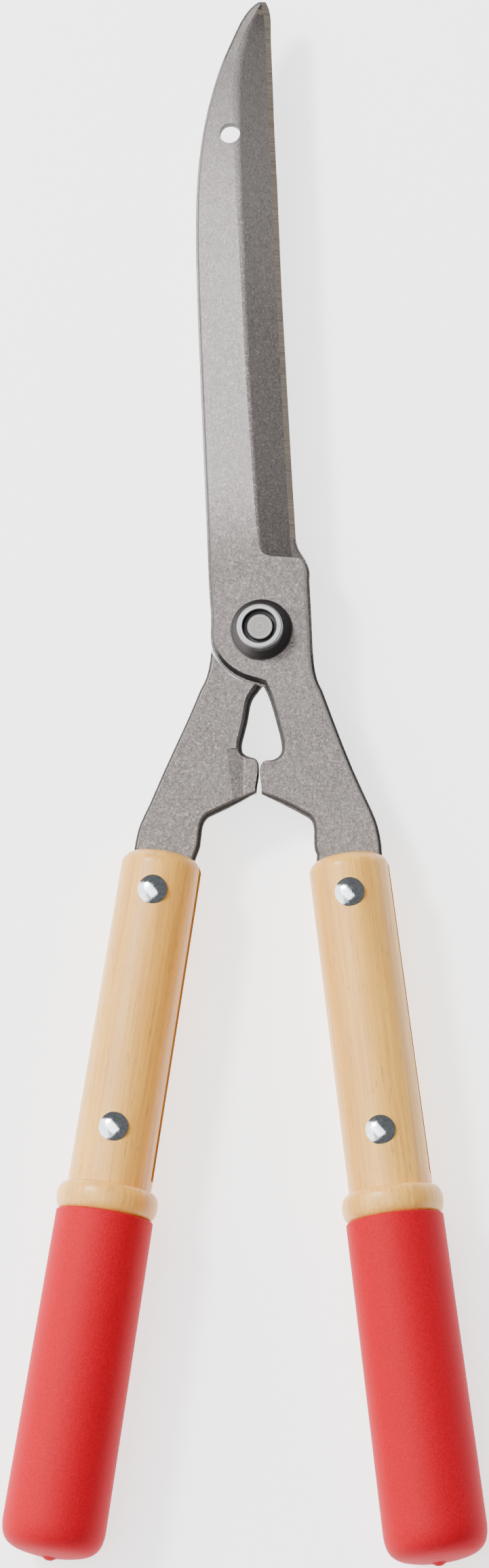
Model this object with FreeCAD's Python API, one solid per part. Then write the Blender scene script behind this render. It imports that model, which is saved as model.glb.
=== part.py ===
import FreeCAD, Part
import os
import math

os.makedirs("parts", exist_ok=True)
V = FreeCAD.Vector

# ---------------------------------------------------------------------------
# Forged hedge shears.  All lengths in mm.
# Working frame while modelling: pivot axis on X = Y = 0, +Z up out of the
# front blade, +Y from the handles to the tip, Z = 0 is the plane in which the
# two forged halves slide on each other.  At the end everything is shifted so
# that the bottom centre of the bounding box is the origin.
# ---------------------------------------------------------------------------

# forgings
BOSS_T = 5.0            # thickness of each half round the pivot
TIP_T = 2.5             # thickness at the blade tip
SLIDE_GAP = 0.1         # each half stands this far from the sliding plane
TANG_T = 6.2            # thickness of the tang in the handle slot
LIP_T = 0.75            # height of the trimmed flash lip
LIP_IN = 0.70           # drafted wall starts this far in from the lip
DRAFT_IN = 1.90         # drafted wall ends this far in at full thickness
STEP_R = 20.6           # clearance radius of the step round the pivot
EDGE_Z = 0.35           # land left at the cutting edge
STRIP_Z = 1.30          # height where the ground strip meets the bevel
STRIP_W = 2.1           # width of the ground strip
HANG_R = 3.87           # hang hole radius
HANG_XY = (-15.22, 192.9)

# pivot
BOLT_R = 5.0            # bolt shank
FRONT_BORE_R = 5.06     # running fit in the front half
CONE_R, CONE_TOP_R = 11.5, 8.9
CONE_Z0, CONE_RIM, CONE_Z1 = 5.1, 0.7, 7.7
NUT_R, NUT_Z1 = 8.56, 12.2
NUT_REC_R, NUT_REC_Z = 6.4, 9.0
BOLT_END_Z = 10.8
BACK_W_R, BACK_W_T = 11.5, 1.6
HEX_AF, HEX_H = 17.0, 5.6

# handles
WOOD_R1, WOOD_R2 = 15.05, 15.6     # at the first rivet, above the bead
BEAD_R = 18.85
SLOT_END = 106.4                   # slot depth measured from rivet 1
BEAD_S0, BEAD_S1 = 110.5, 121.2
GRIP_R0, GRIP_R1 = 18.1, 19.2
GRIP_END = 249.0
CORE_R0, CORE_R1 = 15.7, 17.0
RIVET_PITCH = 89.85
RIVET_SHANK_R, RIVET_HEAD_R, RIVET_HEAD_H = 2.4, 5.45, 1.75
RIVET_SEAT, RIVET_RIM = 1.25, 1.15     # depth of the seat, head's straight rim
BURR_R, BURR_T = 5.2, 0.9
TAIL_R, TAIL_H = 3.6, 1.3

LEFT = dict(px=-37.95, py=-100.2, ang=8.15, side=-1)
RIGHT = dict(px=35.30, py=-101.4, ang=8.05, side=+1)


# ---------------------------------------------------------------------------
# small geometry helpers
# ---------------------------------------------------------------------------
def unit(a, b):
    dx, dy = b[0] - a[0], b[1] - a[1]
    n = math.hypot(dx, dy)
    return (dx / n, dy / n)


def draft_at(p):
    """Share of the draft at a point: the mating stop faces are nearly
    straight."""
    dx = max(0.0, abs(p[0] + 0.4) - 1.8)
    dy = max(0.0, abs(p[1] + 55.3) - 5.2)
    return 0.22 + 0.78 * min(1.0, math.hypot(dx, dy) / 3.5)


def inset(segs, d):
    """Move a closed counter-clockwise outline inwards by d, keeping its
    corner count."""
    n = len(segs)
    first = [unit(s[0], s[1]) for s in segs]
    last = [unit(s[-2], s[-1]) for s in segs]

    def mitre(t0, t1):
        n0, n1 = (-t0[1], t0[0]), (-t1[1], t1[0])
        k = 1.0 + n0[0] * n1[0] + n0[1] * n1[1]
        k = max(k, 0.35)
        return ((n0[0] + n1[0]) / k * d, (n0[1] + n1[1]) / k * d)

    out = []
    for i, s in enumerate(segs):
        t_prev, t_next = last[i - 1], first[(i + 1) % n]
        pts = []
        for j, p in enumerate(s):
            if j == 0:
                m = mitre(t_prev, first[i])
            elif j == len(s) - 1:
                m = mitre(last[i], t_next)
            else:
                m = mitre(unit(s[j - 1], p), unit(p, s[j + 1]))
            f = draft_at(p)
            pts.append((p[0] + f * m[0], p[1] + f * m[1]))
        out.append(pts)
    return out


def wire(segs, z):
    edges = []
    for s in segs:
        pts = [V(p[0], p[1], z) for p in s]
        if len(pts) == 2:
            edges.append(Part.LineSegment(pts[0], pts[1]).toShape())
        else:
            c = Part.BSplineCurve()
            c.interpolate(pts)
            edges.append(c.toShape())
    return Part.Wire(edges)


def prism(segs, z0, z1, d0=0.0, d1=0.0):
    a = wire(inset(segs, d0) if d0 else segs, z0)
    b = wire(inset(segs, d1) if d1 else segs, z1)
    s = Part.makeLoft([a, b], True, True)
    if s.Volume < 0:
        s.reverse()
    return s


def slab(x0, x1, profile):
    """Solid from a polygon in the YZ plane, run from x0 to x1."""
    w = Part.makePolygon([V(x0, y, z) for y, z in profile + [profile[0]]])
    return Part.Face(w).extrude(V(x1 - x0, 0, 0))


def flipped(shape):
    """Turn a body half a turn about the Y axis."""
    s = shape.copy()
    s.rotate(V(0, 0, 0), V(0, 1, 0), 180)
    return s


def lerp(tab, y):
    tab = sorted(tab)
    if y <= tab[0][0]:
        (y0, a), (y1, b) = tab[0], tab[1]
    elif y >= tab[-1][0]:
        (y0, a), (y1, b) = tab[-2], tab[-1]
    else:
        for (y0, a), (y1, b) in zip(tab, tab[1:]):
            if y0 <= y <= y1:
                break
    return a + (b - a) * (y - y0) / (y1 - y0)


def place(shape, h):
    """Handle frame (X along the handle from rivet 1 to the grip end, Y
    across, Z up) to the shears frame."""
    a = math.radians(h["ang"])
    ang = math.degrees(math.atan2(-math.cos(a), h["side"] * math.sin(a)))
    s = shape.copy()
    s.rotate(V(0, 0, 0), V(0, 0, 1), ang)
    s.translate(V(h["px"], h["py"], 0))
    return s


def hp(h, s, t):
    """Point at s along a handle and t outwards from its axis."""
    a = math.radians(h["ang"])
    dx, dy = h["side"] * math.sin(a), -math.cos(a)
    nx, ny = h["side"] * math.cos(a), math.sin(a)
    return (h["px"] + s * dx + t * nx, h["py"] + s * dy + t * ny)


def spin(profile, smooth_runs):
    """Solid of revolution about X.  profile is a list of (x, r);
    smooth_runs lists index pairs that are joined by one smooth curve."""
    edges, i = [], 0
    runs = dict(smooth_runs)
    while i < len(profile) - 1:
        j = runs.get(i, i + 1)
        pts = [V(x, r, 0) for x, r in profile[i:j + 1]]
        if len(pts) == 2:
            edges.append(Part.LineSegment(pts[0], pts[1]).toShape())
        else:
            c = Part.BSplineCurve()
            c.interpolate(pts)
            edges.append(c.toShape())
        i = j
    a, b = profile[-1], profile[0]
    edges.append(Part.LineSegment(V(a[0], a[1], 0), V(b[0], b[1], 0)).toShape())
    f = Part.Face(Part.Wire(edges))
    s = f.revolve(V(0, 0, 0), V(1, 0, 0), 360)
    if s.Volume < 0:
        s.reverse()
    return s


def turned(profile):
    """Solid of revolution about Z from (r, z) corners."""
    pts = [V(r, 0, z) for r, z in profile]
    pts.append(pts[0])
    f = Part.Face(Part.makePolygon(pts))
    s = f.revolve(V(0, 0, 0), V(0, 0, 1), 360)
    if s.Volume < 0:
        s.reverse()
    return s


def dome(r, z0, h):
    """Spherical cap on the plane z0, radius r, height h (h < 0 points down)."""
    a = abs(h)
    R = (r * r + a * a) / (2 * a)
    s = Part.makeSphere(R, V(0, 0, z0 + a - R))
    s = s.common(Part.makeBox(4 * R, 4 * R, a + 1, V(-2 * R, -2 * R, z0)))
    if h < 0:
        s.rotate(V(0, 0, z0), V(1, 0, 0), 180)
    return s


# ---------------------------------------------------------------------------
# outlines (counter-clockwise seen from +Z), one list per smooth run
# ---------------------------------------------------------------------------
# front half: spine, seen on the left
SPINE = [(-5.2, 244.9), (-7.6, 243.1), (-10.2, 240.0), (-12.5, 236.0),
         (-15.1, 230.0), (-18.5, 222.0), (-21.1, 214.0), (-23.2, 206.0),
         (-24.9, 198.0), (-26.1, 190.1), (-27.0, 182.1), (-27.5, 174.2),
         (-27.75, 166.2), (-27.75, 158.0), (-27.5, 146.0), (-27.0, 134.5),
         (-26.2, 118.6), (-25.3, 102.8), (-24.4, 87.0), (-23.5, 71.3),
         (-22.6, 55.6), (-21.6, 39.9), (-20.8, 24.3), (-20.1, 14.0),
         (-19.45, 6.5)]
BOSS_LEFT = [(-19.45, 6.5), (-19.45, 1.0), (-19.25, -3.4), (-18.4, -6.7),
             (-16.9, -9.8), (-14.5, -13.05), (-11.35, -15.8), (-8.5, -17.5)]
BOSS_LOW = [(-8.5, -17.5), (-5.2, -18.9), (-1.9, -19.85), (0.75, -20.75)]
R_IN1 = [(0.75, -20.75), (2.53, -24.3), (4.66, -30.5), (7.0, -38.85),
         (7.9, -43.6), (7.55, -46.4), (6.3, -47.8), (3.4, -48.8)]
R_STOP = [(3.4, -48.8), (1.1, -49.5), (0.1, -51.4), (0.1, -56.0),
          (0.55, -61.5)]
R_TAB = [(0.55, -61.5), (9.94, -66.12), (17.5, -70.2)]
R_NECK = [(17.5, -70.2), (19.6, -72.2), (20.5, -76.0), (21.6, -84.6)]

R_OUT = [(45.9, -85.4), (45.5, -80.5), (43.6, -72.3), (40.4, -64.9),
         (36.7, -57.1), (29.7, -40.5), (22.7, -22.2)]
R_HIP = [(22.7, -22.2), (20.6, -17.6), (19.5, -12.5), (18.9, -5.0),
         (18.4, 3.6), (17.8, 13.2), (17.3, 20.0)]
R_SHLD = [(17.3, 20.0), (16.75, 25.3), (15.65, 27.7), (13.6, 30.8),
          (12.6, 33.0), (11.95, 36.5)]
EDGE = [(11.95, 36.5), (10.5, 55.4), (8.85, 79.0), (7.2, 102.6),
        (5.55, 126.3), (4.2, 149.0), (2.95, 172.0), (1.75, 190.0),
        (0.9, 206.0), (0.2, 220.0), (-0.45, 233.0), (-1.15, 241.5),
        (-2.6, 244.9)]

# rear half, same frame
L_OUT = [(-18.9, 1.0), (-19.1, -5.0), (-19.6, -12.0), (-20.7, -17.0),
         (-22.9, -21.8)]
L_OUT2 = [(-22.9, -21.8), (-29.4, -37.7), (-37.2, -55.6), (-42.4, -68.0),
          (-44.8, -73.5), (-46.1, -79.0), (-46.8, -83.8)]
L_NECK = [(-22.4, -82.5), (-21.6, -76.0), (-20.9, -72.8), (-19.0, -70.2)]
L_TAB = [(-19.0, -70.2), (-10.5, -66.1), (-1.3, -60.9)]
L_STOP = [(-1.3, -60.9), (-0.75, -55.6), (-0.6, -51.6), (-1.1, -49.1),
          (-2.9, -47.8)]
L_IN1 = [(-2.9, -47.8), (-5.2, -47.0), (-6.6, -45.9), (-7.1, -43.4),
         (-6.5, -40.0), (-4.9, -33.0), (-3.3, -25.6), (-1.5, -22.9),
         (0.0, -20.9)]

# hidden boss and blade of the rear half
B_BOSS = [(0.0, -20.9), (2.0, -18.9), (5.2, -16.9), (8.4, -15.4),
          (11.6, -13.8), (15.0, -10.8), (17.2, -7.2), (17.7, -3.0),
          (17.3, 3.6), (16.7, 13.2), (16.1, 20.0)]
B_SPINE = [(16.1, 20.0), (15.2, 24.4), (12.4, 29.6), (11.1, 34.5),
           (9.4, 55.4), (7.75, 79.0), (6.1, 102.6), (4.45, 126.3),
           (3.1, 149.0), (1.85, 172.0), (0.65, 190.0), (-0.2, 206.0),
           (-0.9, 220.0), (-1.5, 232.0), (-2.1, 238.0), (-4.0, 242.6)]
B_TIP = [(-4.0, 242.6), (-6.8, 242.3)]
B_EDGE = [(-6.8, 242.3), (-9.6, 239.0), (-11.7, 235.6), (-14.3, 229.6),
          (-17.6, 221.6), (-20.3, 213.6), (-22.4, 205.6), (-24.1, 197.6),
          (-25.3, 189.8), (-26.1, 182.0), (-26.6, 174.1), (-26.85, 166.1),
          (-26.85, 158.0), (-26.6, 146.0), (-26.1, 134.5), (-25.3, 118.6),
          (-24.4, 102.8), (-23.5, 87.0), (-22.6, 71.3), (-21.7, 55.6),
          (-20.7, 40.0)]
B_SHLD = [(-20.7, 40.0), (-20.3, 33.0), (-19.9, 24.0), (-19.2, 14.0),
          (-18.75, 7.0), (-18.9, 1.0)]


def tang(h, s_in, s_out):
    """Inner side, end and outer side of a tang, from the entry down and up
    again (outline order of the right half)."""
    inner = [hp(h, s_in, -11.8), hp(h, 20, -11.2), hp(h, 60, -9.7),
             hp(h, 98, -8.0)]
    end = [inner[-1], hp(h, 102.6, -5.6), hp(h, 104.2, 0.0),
           hp(h, 102.6, 5.6), hp(h, 98, 8.0)]
    outer = [end[-1], hp(h, 60, 9.7), hp(h, 20, 11.2), hp(h, s_out, 12.1)]
    return inner, end, outer


rt_in, rt_end, rt_out = tang(RIGHT, -14.5, -13.0)
lt_in, lt_end, lt_out = tang(LEFT, -14.5, -13.0)


def join(a, b):
    return [a[-1], b[0]]


front_outline = [SPINE, BOSS_LEFT, BOSS_LOW, R_IN1, R_STOP, R_TAB, R_NECK,
                 join(R_NECK, rt_in), rt_in, rt_end, rt_out,
                 join(rt_out, R_OUT), R_OUT, R_HIP, R_SHLD, EDGE,
                 join(EDGE, SPINE)]

# the left side runs down the outside and up the inside
lt_out_dn = [p for p in reversed(lt_out)]
lt_end_r = [p for p in reversed(lt_end)]
lt_in_up = [p for p in reversed(lt_in)]
rear_outline = [L_OUT, L_OUT2, join(L_OUT2, lt_out_dn), lt_out_dn, lt_end_r,
                lt_in_up, join(lt_in_up, L_NECK), L_NECK, L_TAB, L_STOP,
                L_IN1, B_BOSS, B_SPINE, B_TIP, B_EDGE, B_SHLD]


def clean(segs):
    return [s for s in segs if math.hypot(s[0][0] - s[-1][0],
                                          s[0][1] - s[-1][1]) > 1e-6]


front_outline = clean(front_outline)
rear_outline = clean(rear_outline)


def top_profile():
    """Height of the outer face along Y."""
    return [(262.0, TIP_T - 0.2), (36.0, BOSS_T - 0.05), (30.0, BOSS_T),
            (-24.0, BOSS_T), (-70.0, TANG_T / 2 + 0.30), (-79.0, TANG_T / 2),
            (-225.0, TANG_T / 2)]


def face_z(y):
    return lerp(top_profile(), y)


def trim_top(s):
    """Cut a half above its outer face."""
    p = top_profile()
    tool = slab(-120, 120, p + [(-225.0, 30.0), (262.0, 30.0)])
    return s.cut(tool)


def upper(outline):
    lip = prism(outline, SLIDE_GAP, LIP_T)
    wall = prism(outline, LIP_T, BOSS_T + 0.2, LIP_IN, DRAFT_IN)
    return lip.fuse(wall)


def lower(outline):
    lip = prism(outline, -LIP_T, SLIDE_GAP)
    wall = prism(outline, -BOSS_T - 0.2, -LIP_T, DRAFT_IN, LIP_IN)
    s = lip.fuse(wall)
    # only the arm and tang go through both layers
    s = s.cut(Part.makeBox(200, 320, 40, V(-100, -6.0, -20)))
    s = s.cut(Part.makeCylinder(STEP_R, 40, V(0, 0, -20)))
    return s


def bevel_tool(ridge, edge, side, y_lo, y_hi, floor=None):
    """Material removed for the long bevel.  side=+1 cuts towards +X."""
    secs = []
    ys = [y_lo + (y_hi - y_lo) * k / 15.0 for k in range(16)]
    for y in ys:
        xr, xe = lerp(ridge, y), lerp(edge, y)
        zt = face_z(y)
        xs = xe - side * STRIP_W
        pts = [V(xr, y, zt + 0.02), V(xs, y, STRIP_Z),
               V(xe + side * 14, y, STRIP_Z - 1.0), V(xe + side * 14, y, 20),
               V(xr, y, 20)]
        secs.append(Part.makePolygon(pts + [pts[0]]))
    s = Part.makeLoft(secs, True, False)
    if s.Volume < 0:
        s.reverse()
    return s


def strip_tool(edge, side, ys):
    secs = []
    for y in ys:
        xe = lerp(edge, y)
        xs = xe - side * STRIP_W
        k = (EDGE_Z - STRIP_Z) / STRIP_W
        x1 = xe + side * 0.5
        z1 = EDGE_Z + k * 0.5
        x0 = xs - side * 0.6
        z0 = STRIP_Z - k * 0.6
        pts = [V(x0, y, z0), V(x1, y, z1), V(x1, y, 8), V(x0, y, 8)]
        secs.append(Part.makePolygon(pts + [pts[0]]))
    s = Part.makeLoft(secs, True, False)
    if s.Volume < 0:
        s.reverse()
    return s


# ---------------------------------------------------------------------------
# front half
# ---------------------------------------------------------------------------
front_ridge = [(246.0, -3.4), (242.0, -5.2), (236.0, -8.8), (229.2, -11.9),
               (222.0, -13.7), (214.0, -14.5), (205.0, -14.45),
               (192.0, -13.9), (178.6, -13.2), (165.0, -12.3),
               (152.0, -11.3), (138.7, -10.3), (125.5, -9.45),
               (112.3, -8.55), (99.1, -7.6), (86.0, -6.6), (72.9, -5.5),
               (59.7, -4.4), (46.7, -3.2), (36.0, -2.2), (26.0, -1.2)]
front_edge = [(p[1], p[0]) for p in R_SHLD[-1:] + EDGE[1:]] + [(26.0, 12.75)]

front = upper(front_outline)
tool = bevel_tool(front_ridge, front_edge, +1, 26.0, 248.0)
# the bevel dies out in a rounded step in front of the pivot boss
keep = prism([[(-40, 40), (-40, 10)], [(-40, 10), (40, 10)],
              [(40, 10), (40, 27.2)],
              [(40, 27.2), (15.0, 27.25), (10.7, 27.6), (4.8, 28.1),
               (1.6, 28.7), (-0.3, 30.0), (-1.5, 32.5), (-2.2, 36.0),
               (-3.2, 40.0)],
              [(-3.2, 40.0), (-40, 40)]], -5, 25)
tool = tool.cut(keep)
front = front.cut(tool)
stool = strip_tool(front_edge, +1, [34.0 + (248.0 - 34.0) * k / 15.0
                                    for k in range(16)])
stool = stool.cut(prism([[(6.0, 20.0), (20.0, 20.0)],
                         [(20.0, 20.0), (20.0, 30.2)],
                         [(20.0, 30.2), (6.0, 38.9)],
                         [(6.0, 38.9), (6.0, 20.0)]], -5, 25))
front = front.cut(stool)
front = front.fuse(lower(front_outline))
front = trim_top(front)
front = front.cut(flipped(slab(-120, 120, top_profile()
                               + [(-225.0, 30.0), (262.0, 30.0)])))

# ---------------------------------------------------------------------------
# rear half, modelled upside down in the same way and flipped back
# ---------------------------------------------------------------------------
def mirrored(outline):
    """Outline of the rear half as it lies when turned over."""
    return [[(-p[0], p[1]) for p in reversed(s)] for s in reversed(outline)]


rear_out_m = mirrored(rear_outline)
rear_edge = [(p[1], -p[0]) for p in B_EDGE] + [(30.0, 20.2), (20.0, 19.8),
                                               (246.0, 3.5)]
rear_ridge = [(246.0, 3.2), (242.0, 2.9), (236.0, 2.6), (229.0, 3.0),
              (222.0, 4.2), (214.0, 5.6), (205.0, 7.2), (192.0, 9.0),
              (178.6, 10.4), (165.0, 11.2), (152.0, 11.4), (138.7, 11.1),
              (125.5, 10.5), (112.3, 9.9), (99.1, 9.2), (86.0, 8.5),
              (72.9, 7.8), (59.7, 7.0), (46.7, 6.3), (36.0, 5.8),
              (26.0, 5.2)]
rear = upper(rear_out_m)
tool = bevel_tool(rear_ridge, rear_edge, +1, 26.0, 248.0)
tool = tool.cut(prism([[(-40, 44), (-40, 10)], [(-40, 10), (40, 10)],
                       [(40, 10), (40, 30.0)],
                       [(40, 30.0), (22.0, 30.2), (16.0, 30.6),
                        (11.0, 31.3), (7.6, 32.6), (6.2, 35.5),
                        (5.9, 40.0), (6.1, 44.0)],
                       [(6.1, 44.0), (-40, 44)]], -5, 25))
rear = rear.cut(tool)
stool = strip_tool(rear_edge, +1, [38.0 + (248.0 - 38.0) * k / 15.0
                                   for k in range(16)])
rear = rear.cut(stool)
rear = rear.fuse(lower(rear_out_m))
rear = trim_top(rear)
rear = rear.cut(flipped(slab(-120, 120, top_profile()
                             + [(-225.0, 30.0), (262.0, 30.0)])))
rear = flipped(rear)

# stop tab of the rear half is set down by a short sloping facet
TAB_DROP = 1.7
tab = Part.Face(Part.makePolygon([
    V(-13.2, 0, 8), V(-13.2, 0, 4.45), V(-6.1, 0, 4.45 - TAB_DROP),
    V(-5.4, 0, 4.45 - TAB_DROP + 0.25), V(2.0, 0, 4.45 - TAB_DROP),
    V(2.0, 0, 8), V(-13.2, 0, 8)])).extrude(V(0, -24.0, 0))
tab.translate(V(0, -44.9, 0))
rear = rear.cut(tab)

# pivot bores and hang holes
front = front.cut(Part.makeCylinder(FRONT_BORE_R, 40, V(0, 0, -20)))
rear = rear.cut(Part.makeCylinder(BOLT_R, 40, V(0, 0, -20)))
hang = Part.makeCylinder(HANG_R, 40, V(HANG_XY[0], HANG_XY[1], -20))
front = front.cut(hang)
rear = rear.cut(hang)


# rivet holes through the tangs
def rivet_holes(h):
    out = []
    for s in (0.0, RIVET_PITCH):
        c = Part.makeCylinder(RIVET_SHANK_R, 60, V(s, 0, -30))
        out.append(place(c, h))
    return out


for c in rivet_holes(RIGHT):
    front = front.cut(c)
for c in rivet_holes(LEFT):
    rear = rear.cut(c)

front = front.removeSplitter()
rear = rear.removeSplitter()

# ---------------------------------------------------------------------------
# pivot hardware, carried by the rear half
# ---------------------------------------------------------------------------
bolt = turned([(0, -BOSS_T - BACK_W_T), (BOLT_R, -BOSS_T - BACK_W_T),
               (BOLT_R, BOLT_END_Z - 0.35), (BOLT_R - 0.35, BOLT_END_Z),
               (0, BOLT_END_Z)])
hexr = HEX_AF / 2 / math.cos(math.pi / 6)
hz = -BOSS_T - BACK_W_T
hexa = Part.Face(Part.makePolygon(
    [V(hexr * math.cos(math.radians(60 * k + 11)),
       hexr * math.sin(math.radians(60 * k + 11)), hz - HEX_H)
     for k in range(7)])).extrude(V(0, 0, HEX_H))
# chamfered corners of the hexagon
cone = turned([(0, hz), (hexr + 1, hz), (hexr + 1, hz - HEX_H + 1.3),
               (HEX_AF / 2 - 0.2, hz - HEX_H), (0, hz - HEX_H)])
bolt = bolt.fuse(hexa.common(cone)).removeSplitter()

cone_washer = turned([(BOLT_R, CONE_Z0), (CONE_R - 0.2, CONE_Z0),
                      (CONE_R, CONE_Z0 + 0.2), (CONE_R, CONE_Z0 + CONE_RIM),
                      (CONE_TOP_R, CONE_Z1), (BOLT_R, CONE_Z1)])
ring_nut = turned([(BOLT_R, CONE_Z1), (NUT_R, CONE_Z1),
                   (NUT_R, NUT_Z1 - 0.6), (NUT_R - 0.2, NUT_Z1 - 0.2),
                   (NUT_R - 0.6, NUT_Z1), (NUT_REC_R + 0.25, NUT_Z1),
                   (NUT_REC_R, NUT_Z1 - 0.25), (NUT_REC_R, NUT_REC_Z),
                   (BOLT_R, NUT_REC_Z)])
back_washer = turned([(BOLT_R, -BOSS_T - BACK_W_T),
                      (BACK_W_R - 0.3, -BOSS_T - BACK_W_T),
                      (BACK_W_R, -BOSS_T - BACK_W_T + 0.3),
                      (BACK_W_R, -BOSS_T), (BOLT_R, -BOSS_T)])

# ---------------------------------------------------------------------------
# handles
# ---------------------------------------------------------------------------
wood_profile = [(-16.6, 0.0), (-16.5, 5.0), (-16.05, 9.0), (-15.05, 12.0),
                (-13.3, 14.05), (-10.6, WOOD_R1 - 0.1), (0.0, WOOD_R1),
                (BEAD_S0 - 3.0, WOOD_R2), (BEAD_S0, WOOD_R2 - 0.15),
                (BEAD_S0 + 0.55, 17.1), (BEAD_S0 + 2.4, 18.4),
                (BEAD_S0 + 5.3, BEAD_R), (BEAD_S0 + 8.2, 18.4),
                (BEAD_S1 - 0.6, 17.2), (BEAD_S1, CORE_R0),
                (GRIP_END - 14.0, CORE_R1), (GRIP_END - 8.6, 16.3),
                (GRIP_END - 5.0, 14.0), (GRIP_END - 3.4, 10.0),
                (GRIP_END - 2.8, 5.0), (GRIP_END - 2.6, 0.0)]
wood = spin(wood_profile, {0: 5, 8: 14, 15: 20}.items())
wood = wood.cut(Part.makeBox(SLOT_END + 40, 60, TANG_T,
                             V(-40, -30, -TANG_T / 2)))

grip_outer = [(BEAD_S1, CORE_R0), (BEAD_S1, GRIP_R0 - 0.5),
              (BEAD_S1 + 0.15, GRIP_R0 - 0.2), (BEAD_S1 + 0.5, GRIP_R0),
              (GRIP_END - 13.0, GRIP_R1), (GRIP_END - 8.6, GRIP_R1 - 0.35),
              (GRIP_END - 5.0, GRIP_R1 - 1.75),
              (GRIP_END - 2.5, GRIP_R1 - 4.6),
              (GRIP_END - 1.1, GRIP_R1 - 8.6), (GRIP_END - 0.35, 6.5),
              (GRIP_END - 0.05, 3.1), (GRIP_END + 0.35, 2.4),
              (GRIP_END + 1.0, 1.3), (GRIP_END + 1.15, 0.0),
              (BEAD_S1, 0.0)]
grip_solid = spin(grip_outer, {4: 10, 10: 13}.items())

def handle(h):
    w, g = wood.copy(), grip_solid.cut(wood)
    rivets, burrs = [], []
    for s, r in ((0.0, WOOD_R1), (RIVET_PITCH, WOOD_R2 - 0.15)):
        seat = r - RIVET_SEAT
        shank = Part.makeCylinder(RIVET_SHANK_R, 2 * seat + BURR_T,
                                  V(0, 0, -seat - BURR_T))
        head = Part.makeCylinder(RIVET_HEAD_R, RIVET_RIM, V(0, 0, seat))
        cap = dome(RIVET_HEAD_R, seat + RIVET_RIM, RIVET_HEAD_H)
        tail = dome(TAIL_R, -seat - BURR_T, -TAIL_H)
        rv = shank.fuse(head).fuse(cap).fuse(tail).removeSplitter()
        rv.translate(V(s, 0, 0))
        rivets.append(rv)
        b = Part.makeCylinder(BURR_R, BURR_T, V(s, 0, -seat - BURR_T)).cut(
            Part.makeCylinder(RIVET_SHANK_R, 40, V(s, 0, -20 - seat)))
        burrs.append(b)
        w = w.cut(Part.makeCylinder(RIVET_HEAD_R + 0.05, 20, V(s, 0, seat)))
        w = w.cut(Part.makeCylinder(BURR_R + 0.1, 20, V(s, 0, -seat - 20)))
        w = w.cut(Part.makeCylinder(RIVET_SHANK_R, 80, V(s, 0, -40)))
    return (place(w, h), place(g, h),
            place(Part.makeCompound(rivets), h),
            place(Part.makeCompound(burrs), h))


lw, lg, lr, lb = handle(LEFT)
rw, rg, rr, rb = handle(RIGHT)

# ---------------------------------------------------------------------------
# shift the origin to the bottom centre and write the parts
# ---------------------------------------------------------------------------
parts = dict(front_blade=front, rear_blade=rear, pivot_bolt=bolt,
             pivot_cone_washer=cone_washer, pivot_ring_nut=ring_nut,
             pivot_back_washer=back_washer, left_handle_wood=lw,
             left_grip=lg, left_rivets=lr, left_rivet_burrs=lb,
             right_handle_wood=rw, right_grip=rg, right_rivets=rr,
             right_rivet_burrs=rb)

box = FreeCAD.BoundBox()
for s in parts.values():
    box.add(s.optimalBoundingBox(True, False))
move = V(-(box.XMin + box.XMax) / 2, -(box.YMin + box.YMax) / 2, -box.ZMin)
for name, s in parts.items():
    s = s.copy()
    s.translate(move)
    s.exportStep(os.path.join("parts", name + ".step"))
    print(name, "solids", len(s.Solids), "valid", s.isValid(),
          "volume", round(s.Volume, 1))
print("size", round(box.XLength, 3), round(box.YLength, 3),
      round(box.ZLength, 3))
print("pivot at", round(move.x, 3), round(move.y, 3), round(move.z, 3))
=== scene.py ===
import math
import bpy
from mathutils import Matrix, Vector

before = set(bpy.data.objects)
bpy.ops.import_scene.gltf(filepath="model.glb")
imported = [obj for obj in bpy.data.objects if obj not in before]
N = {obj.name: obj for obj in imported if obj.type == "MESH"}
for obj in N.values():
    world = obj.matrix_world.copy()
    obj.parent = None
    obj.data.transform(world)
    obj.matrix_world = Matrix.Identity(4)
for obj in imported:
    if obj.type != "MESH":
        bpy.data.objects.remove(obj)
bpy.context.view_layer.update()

PIV = Vector((0.00153, 0.052155, 0.019206))


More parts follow.
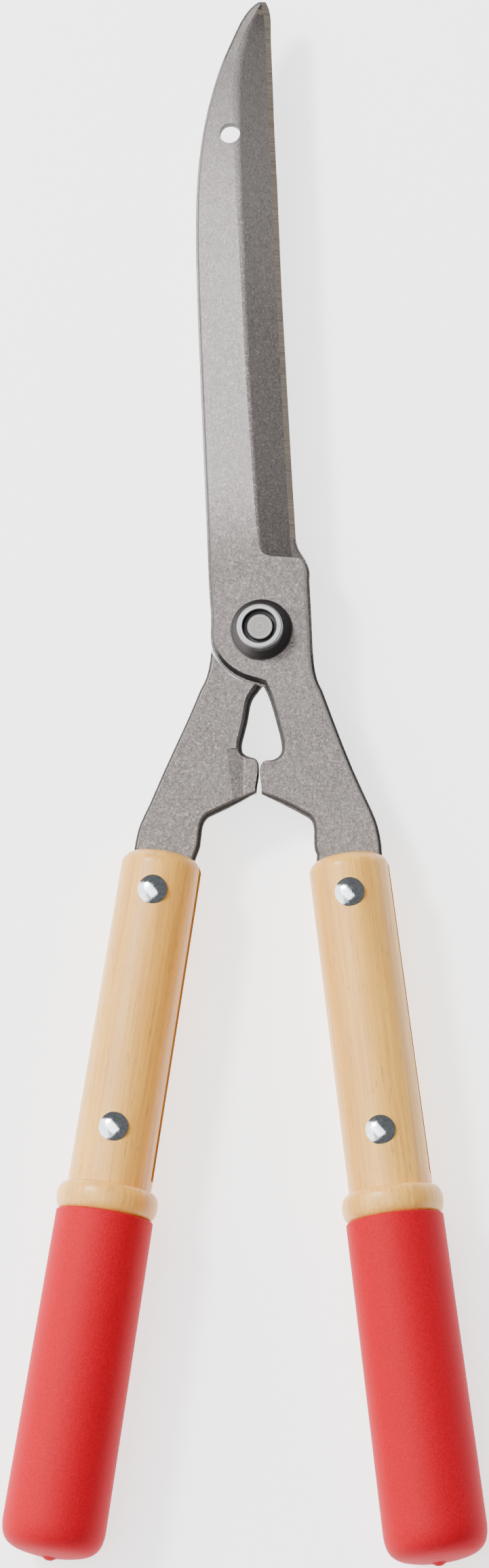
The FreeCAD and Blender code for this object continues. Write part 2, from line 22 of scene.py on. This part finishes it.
# ---------------------------------------------------------------------------
# node helpers
# ---------------------------------------------------------------------------
class Mat:
    def __init__(self, name):
        self.m = bpy.data.materials.new(name)
        self.m.use_nodes = True
        self.t = self.m.node_tree
        self.t.nodes.clear()
        self.out = self.t.nodes.new("ShaderNodeOutputMaterial")
        self.b = self.t.nodes.new("ShaderNodeBsdfPrincipled")
        self.t.links.new(self.b.outputs[0], self.out.inputs[0])
        self.tc = self.t.nodes.new("ShaderNodeTexCoord")

    def put(self, sock, v):
        if isinstance(v, bpy.types.NodeSocket):
            self.t.links.new(v, sock)
        elif isinstance(v, (tuple, list)) and len(v) == 3 and sock.type == "RGBA":
            sock.default_value = (v[0], v[1], v[2], 1)
        else:
            sock.default_value = v

    def bsdf(self, **kw):
        for k, v in kw.items():
            self.put(self.b.inputs[k.replace("_", " ")], v)

    def obj(self):
        return self.tc.outputs["Object"]

    def map(self, vec, loc=(0, 0, 0), rot=(0, 0, 0), scale=(1, 1, 1)):
        n = self.t.nodes.new("ShaderNodeMapping")
        self.put(n.inputs["Vector"], vec)
        n.inputs["Location"].default_value = loc
        n.inputs["Rotation"].default_value = rot
        n.inputs["Scale"].default_value = scale
        return n.outputs[0]

    def noise(self, vec, scale, detail=4, rough=0.55, dist=0.0):
        n = self.t.nodes.new("ShaderNodeTexNoise")
        self.put(n.inputs["Vector"], vec)
        n.inputs["Scale"].default_value = scale
        n.inputs["Detail"].default_value = detail
        n.inputs["Roughness"].default_value = rough
        n.inputs["Distortion"].default_value = dist
        return n.outputs["Fac"]

    def voro(self, vec, scale, rnd=1.0):
        n = self.t.nodes.new("ShaderNodeTexVoronoi")
        self.put(n.inputs["Vector"], vec)
        n.inputs["Scale"].default_value = scale
        n.inputs["Randomness"].default_value = rnd
        return n.outputs["Distance"]

    def math(self, op, a, b=0.0, c=None, clamp=False):
        n = self.t.nodes.new("ShaderNodeMath")
        n.operation = op
        n.use_clamp = clamp
        self.put(n.inputs[0], a)
        self.put(n.inputs[1], b)
        if c is not None:
            self.put(n.inputs[2], c)
        return n.outputs[0]

    def rng(self, v, a, b, c=0.0, d=1.0, smooth=False):
        n = self.t.nodes.new("ShaderNodeMapRange")
        if smooth:
            n.interpolation_type = "SMOOTHSTEP"
        self.put(n.inputs["Value"], v)
        n.inputs["From Min"].default_value = a
        n.inputs["From Max"].default_value = b
        n.inputs["To Min"].default_value = c
        n.inputs["To Max"].default_value = d
        return n.outputs[0]

    def mix(self, f, a, b, mode="MIX"):
        n = self.t.nodes.new("ShaderNodeMix")
        n.data_type = "RGBA"
        n.blend_type = mode
        ins = [s for s in n.inputs if s.type == "RGBA"]
        fac = [s for s in n.inputs if s.name == "Factor" and s.type == "VALUE"][0]
        self.put(fac, f)
        self.put(ins[0], a)
        self.put(ins[1], b)
        return [s for s in n.outputs if s.type == "RGBA"][0]

    def ramp(self, v, stops):
        n = self.t.nodes.new("ShaderNodeValToRGB")
        self.put(n.inputs[0], v)
        e = n.color_ramp.elements
        while len(e) > len(stops):
            e.remove(e[-1])
        while len(e) < len(stops):
            e.new(0.5)
        for k, (p, c) in enumerate(stops):
            e[k].position = p
            e[k].color = (c[0], c[1], c[2], 1) if len(c) == 3 else c
        return n.outputs[0]

    def bump(self, h, strength=0.3, dist=0.0002, normal=None):
        n = self.t.nodes.new("ShaderNodeBump")
        n.inputs["Strength"].default_value = strength
        n.inputs["Distance"].default_value = dist
        self.put(n.inputs["Height"], h)
        if normal is not None:
            self.put(n.inputs["Normal"], normal)
        return n.outputs[0]

    def sep(self, v):
        n = self.t.nodes.new("ShaderNodeSeparateXYZ")
        self.put(n.inputs[0], v)
        return n.outputs

    def normal(self):
        return self.tc.outputs["Normal"]

    def radius(self, cx, cy):
        x, y, z = self.sep(self.obj())
        dx = self.math("SUBTRACT", x, cx)
        dy = self.math("SUBTRACT", y, cy)
        r2 = self.math("ADD", self.math("MULTIPLY", dx, dx),
                       self.math("MULTIPLY", dy, dy))
        return self.math("SQRT", r2)


def forged(name, up):
    """Shot-blasted forging; up is +1 for the half whose outer face looks up."""
    m = Mat(name)
    o = m.obj()
    x, y, z = m.sep(o)
    nx, ny, nz = m.sep(m.normal())
    zr = m.math("MULTIPLY", m.math("SUBTRACT", z, PIV.z), up)
    nzu = m.math("MULTIPLY", nz, up)
    nn = m.math("MULTIPLY", nx, up)
    fine = m.noise(o, 1050, 5, 0.85)
    mid = m.noise(o, 380, 3, 0.6)
    big = m.noise(o, 26, 3, 0.55)
    pits = m.voro(o, 820)
    pit = m.rng(pits, 0.0, 0.35, 1.0, 0.0)
    # blasted skin
    base = m.ramp(fine, [(0.30, (0.040, 0.034, 0.031)), (0.44, (0.150, 0.132, 0.124)),
                         (0.54, (0.245, 0.214, 0.200)), (0.70, (0.68, 0.61, 0.580))])
    base = m.mix(m.rng(mid, 0.45, 0.75, 0.0, 0.40), base, (0.12, 0.11, 0.106))
    base = m.mix(m.rng(big, 0.35, 0.7, 0.0, 0.18), base, (0.34, 0.32, 0.31))
    base = m.mix(m.math("MULTIPLY", pit, 0.55), base, (0.045, 0.04, 0.038))
    # painted light: the flat face of the blade in front of the pivot is painted lighter and the
    # arms darker, for how the light falls off along the tool; the blade also turns darker towards
    # the tip
    light = m.rng(y, PIV.y + 0.020, PIV.y + 0.060, 0.0, 1.0, True)
    flat = m.rng(nzu, 0.980, 0.995)
    base = m.mix(m.math("MULTIPLY", m.math("MULTIPLY", light, flat), 0.32),
                 base, (0.63, 0.598, 0.586))
    tip = m.rng(y, PIV.y + 0.150, PIV.y + 0.225, 0.0, 0.62, True)
    base = m.mix(tip, base, (0.085, 0.077, 0.073))
    # painted shade: the arms behind the blade are painted darker
    base = m.mix(m.math("MULTIPLY", m.math("SUBTRACT", 1.0, light), 0.27), base,
                 (0.06, 0.052, 0.048))
    # painted shade on the forged bevel: everything set down below the outer face, right of the
    # ridge, is painted dark because it faces away from the lamps
    ztop = m.rng(y, PIV.y + 0.036, PIV.y + 0.262, 0.00495, 0.0023)
    down = m.math("SUBTRACT", ztop, zr)
    # the ridge, as a line across the blade, parts the bevel from the spine side
    line = m.math("SUBTRACT", m.math("MULTIPLY", x, up),
                  m.math("SUBTRACT", PIV.x * up - 0.0145 + (0.215 + PIV.y) * 0.07 - 0.0035,
                         m.math("MULTIPLY", y, 0.07)))
    bevel_shade = m.math("MULTIPLY", m.rng(down, 0.00012, 0.00040), m.rng(line, 0.0, 0.001))
    bevel_shade = m.math("MULTIPLY", bevel_shade, m.rng(y, PIV.y + 0.026, PIV.y + 0.029))
    bevel_shade = m.math("MULTIPLY", bevel_shade, m.rng(nzu, 0.55, 0.75))
    # the bevel painted dark as shade
    base = m.mix(m.math("MULTIPLY", bevel_shade, 0.78), base, (0.040, 0.034, 0.031))
    # ground strip along the cutting edge with cross-grinding marks
    strip = m.math("MULTIPLY", m.rng(nn, 0.345, 0.365), m.rng(nzu, 0.80, 0.86))
    lines = m.noise(m.map(o, rot=(0, 0, 0.35), scale=(60, 2600, 60)), 1.0, 3, 0.6)
    ground = m.ramp(lines, [(0.3, (0.13, 0.108, 0.09)), (0.7, (0.27, 0.23, 0.195))])
    base = m.mix(strip, base, ground)
    # painted shade on the drafted side walls and on the lip round the pivot boss
    za = m.math("ABSOLUTE", zr)
    wall_shade = m.math("MULTIPLY", m.rng(m.math("ABSOLUTE", nz), 0.90, 0.75),
                  m.rng(za, 0.0007, 0.0008))
    rr = m.radius(PIV.x, PIV.y)
    # painted shade along the lip outside the boss, below the pivot
    lip_shade = m.math("MULTIPLY", m.rng(za, 0.00085, 0.00075), m.rng(y, PIV.y - 0.001, PIV.y - 0.004))
    lip_shade = m.math("MULTIPLY", lip_shade, m.rng(rr, 0.02055, 0.02065))
    wall_shade = m.math("MAXIMUM", wall_shade, m.math("MULTIPLY", lip_shade, 0.85))
    # how deep the painted shade is depends on which way the wall faces
    if up > 0:
        dark = m.rng(nx, 0.0, 0.5, 0.88, 0.50, True)
    else:
        dark = m.rng(nx, -0.45, 0.0, 0.15, 0.88, True)
    base = m.mix(m.math("MULTIPLY", wall_shade, dark), base, (0.022, 0.019, 0.018))
    # machined bearing face round the pivot, painted near white: partly the lighter machined steel,
    # partly a painted highlight of the lamps in it
    face = m.math("MULTIPLY", m.rng(za, 0.0004, 0.0003), m.rng(rr, 0.0207, 0.0205))
    base = m.mix(face, base, (0.72, 0.72, 0.71))
    h = m.math("ADD", m.math("MULTIPLY", fine, 0.6), m.math("MULTIPLY", mid, 0.5))
    h = m.math("SUBTRACT", h, m.math("MULTIPLY", pit, 0.30))
    h = m.math("MULTIPLY", h, m.math("SUBTRACT", 1.0, m.math("MULTIPLY", strip, 0.92)))
    h = m.math("ADD", h, m.math("MULTIPLY", m.math("MULTIPLY", lines, strip), 0.35))
    rough = m.math("SUBTRACT", m.rng(mid, 0.3, 0.7, 0.50, 0.64),
                   m.math("MULTIPLY", strip, 0.12))
    m.bsdf(Base_Color=base, Metallic=0.45, Roughness=rough,
           Normal=m.bump(h, 0.9, 0.00034))
    return m.m


def wood(name, ang):
    m = Mat(name)
    o = m.map(m.obj(), rot=(0, 0, ang))
    x, y, z = m.sep(o)
    fib = m.noise(m.map(o, scale=(900, 22, 900)), 1.0, 5, 0.65)
    fine = m.noise(m.map(o, scale=(2600, 90, 2600)), 1.0, 3, 0.6)
    rings = m.noise(m.map(o, scale=(130, 3.2, 130)), 1.0, 3, 0.5, 0.6)
    tone = m.noise(m.map(o, scale=(24, 6, 24)), 1.0, 2, 0.5)
    fleck = m.noise(m.map(o, scale=(1500, 160, 1500)), 1.0, 2, 0.5)
    c = m.ramp(tone, [(0.3, (0.84, 0.405, 0.060)), (0.7, (1.0, 0.540, 0.104))])
    c = m.mix(m.rng(rings, 0.42, 0.60, 0.0, 0.48), c, (0.58, 0.265, 0.055))
    c = m.mix(m.rng(fib, 0.42, 0.72, 0.0, 0.55), c, (0.50, 0.21, 0.045))
    c = m.mix(m.rng(fine, 0.55, 0.8, 0.0, 0.35), c, (0.98, 0.60, 0.19))
    c = m.mix(m.rng(fleck, 0.62, 0.72, 0.0, 0.45), c, (0.30, 0.14, 0.05))
    h = m.math("ADD", m.math("MULTIPLY", fib, 0.6), m.math("MULTIPLY", fine, 0.4))
    m.bsdf(Base_Color=c, Roughness=m.rng(fib, 0.3, 0.7, 0.30, 0.42),
           Normal=m.bump(h, 0.22, 0.00012), Coat_Weight=0.12,
           Coat_Roughness=0.25, Specular_IOR_Level=0.35)
    return m.m


def vinyl(name):
    m = Mat(name)
    o = m.obj()
    g = m.noise(o, 1300, 3, 0.6)
    w = m.noise(o, 60, 3, 0.5)
    cells = m.voro(o, 1100)
    c = m.ramp(g, [(0.3, (0.42, 0.0, 0.008)), (0.7, (0.56, 0.0, 0.016))])
    c = m.mix(m.rng(w, 0.35, 0.65, 0.0, 0.30), c, (0.47, 0.0, 0.011))
    h = m.math("ADD", m.math("MULTIPLY", g, 0.6), m.math("MULTIPLY", cells, 0.5))
    m.bsdf(Base_Color=c, Roughness=m.rng(g, 0.3, 0.7, 0.50, 0.62),
           Normal=m.bump(h, 0.45, 0.00016), Specular_IOR_Level=0.09)
    return m.m


def plated(name):
    m = Mat(name)
    o = m.obj()
    n = m.noise(o, 700, 4, 0.7)
    s = m.noise(o, 2200, 2, 0.6)
    c = m.ramp(n, [(0.35, (0.62, 0.70, 0.76)), (0.65, (0.90, 0.93, 0.95))])
    c = m.mix(m.rng(s, 0.58, 0.70, 0.0, 0.35), c, (0.25, 0.33, 0.40))
    m.bsdf(Base_Color=c, Metallic=1.0, Roughness=m.rng(n, 0.3, 0.7, 0.06, 0.16),
           Normal=m.bump(n, 0.30, 0.00016))
    return m.m


def turned(name, c0, c1, rough):
    m = Mat(name)
    o = m.obj()
    r = m.radius(PIV.x, PIV.y)
    comb = m.t.nodes.new("ShaderNodeCombineXYZ")
    m.put(comb.inputs[0], m.math("MULTIPLY", r, 1900.0))
    z = m.sep(o)[2]
    m.put(comb.inputs[1], m.math("MULTIPLY", z, 1900.0))
    ln = m.noise(comb.outputs[0], 1.0, 3, 0.6)
    sp = m.noise(o, 900, 3, 0.6)
    c = m.ramp(ln, [(0.3, c0), (0.7, c1)])
    c = m.mix(m.rng(sp, 0.55, 0.75, 0.0, 0.35), c, tuple(v * 0.55 for v in c0))
    # painted shade: the ring nut's groove between these heights and radii is painted near black
    groove_shade = m.math("MULTIPLY", m.rng(z, PIV.z + 0.0120, PIV.z + 0.0117),
                    m.rng(z, PIV.z + 0.0080, PIV.z + 0.0085))
    groove_shade = m.math("MULTIPLY", groove_shade, m.rng(r, 0.0066, 0.0064))
    groove_shade = m.math("MULTIPLY", groove_shade, m.rng(r, 0.00480, 0.00490))
    c = m.mix(m.math("MULTIPLY", groove_shade, 0.93), c, (0.008, 0.008, 0.009))
    m.bsdf(Base_Color=c, Metallic=0.85, Roughness=m.rng(sp, 0.3, 0.7, rough, rough + 0.12),
           Normal=m.bump(ln, 0.35, 0.00012))
    return m.m


def paper():
    m = Mat("paper_floor")
    n = m.noise(m.obj(), 300, 3, 0.5)
    c = m.ramp(n, [(0.3, (0.885, 0.885, 0.885)), (0.7, (0.905, 0.905, 0.905))])
    m.bsdf(Base_Color=c, Roughness=0.9, Normal=m.bump(n, 0.05, 0.0002),
           Emission_Color=(1.0, 1.0, 1.0), Emission_Strength=1.9)
    return m.m


def give(node, mat):
    o = N[node]
    o.data.materials.clear()
    o.data.materials.append(mat)


give("front_blade", forged("forged_front", 1))
give("rear_blade", forged("forged_rear", -1))
give("left_handle_wood", wood("wood_left", math.radians(8.15)))
give("right_handle_wood", wood("wood_right", math.radians(-8.05)))
red = vinyl("red_vinyl")
give("left_grip", red)
give("right_grip", red)
zinc = plated("plated")
for n in ("left_rivets", "right_rivets", "left_rivet_burrs", "right_rivet_burrs"):
    give(n, zinc)
give("pivot_bolt", turned("turned_bolt", (0.085, 0.080, 0.075), (0.34, 0.325, 0.31), 0.42))
give("pivot_ring_nut", turned("turned_nut", (0.20, 0.20, 0.208), (0.46, 0.46, 0.475), 0.36))
give("pivot_back_washer", turned("turned_washer", (0.40, 0.41, 0.42), (0.56, 0.57, 0.58), 0.36))
give("pivot_cone_washer", turned("dark_washer", (0.020, 0.018, 0.018), (0.095, 0.088, 0.086), 0.34))

# ---------------------------------------------------------------------------
# floor, light, camera
# ---------------------------------------------------------------------------
bpy.ops.mesh.primitive_plane_add(size=8, location=(0, 0, -0.0005))
floor = bpy.context.object
floor.name = "floor"
floor.data.materials.append(paper())

world = bpy.data.worlds.new("studio")
bpy.context.scene.world = world
world.use_nodes = True
bg = world.node_tree.nodes["Background"]
bg.inputs[0].default_value = (1, 1, 1, 1)
bg.inputs[1].default_value = 0.16


def area(name, loc, target, size, size_y, power, col=(1, 1, 1)):
    d = bpy.data.lights.new(name, "AREA")
    d.shape = "RECTANGLE"
    d.size, d.size_y = size, size_y
    d.energy = power
    d.color = col
    o = bpy.data.objects.new(name, d)
    bpy.context.collection.objects.link(o)
    o.location = loc
    v = Vector(target) - Vector(loc)
    o.rotation_euler = v.to_track_quat("-Z", "Y").to_euler()
    return o


area("key", (-1.20, 1.00, 1.70), (0, -0.05, 0), 0.40, 0.40, 66)
area("top", (-0.60, 0.10, 1.9), (-0.47, -0.05, 0), 1.30, 2.6, 44)
area("left_panel", (-1.45, -0.20, 0.95), (0, -0.15, 0), 2.8, 1.5, 31)
# broad reflector seen only in the polished rivets and the metal's sheen
gloss = area("gloss_panel", (-1.15, -0.20, 1.15), (-0.1, -0.10, 0), 2.8, 2.0, 20)
gloss.visible_diffuse = False

# camera
TH, TV, ROLL = math.radians(6.0), math.radians(11.5), math.radians(0.915)
d = Vector((math.tan(TH), -math.tan(TV), 1.0)).normalized()
C = Vector((0.32196756, -0.69226909, 3.11925844)) + PIV
up0 = Vector((-math.sin(ROLL), math.cos(ROLL), 0))
fwd = -d
right = fwd.cross(up0).normalized()
up = right.cross(fwd)
cam_d = bpy.data.cameras.new("cam")
cam = bpy.data.objects.new("cam", cam_d)
bpy.context.collection.objects.link(cam)
M = Matrix((right, up, d)).transposed().to_4x4()
M.translation = C
cam.matrix_world = M
cam_d.lens = 197.25
cam_d.sensor_width = 36
cam_d.clip_end = 50
bpy.context.scene.camera = cam
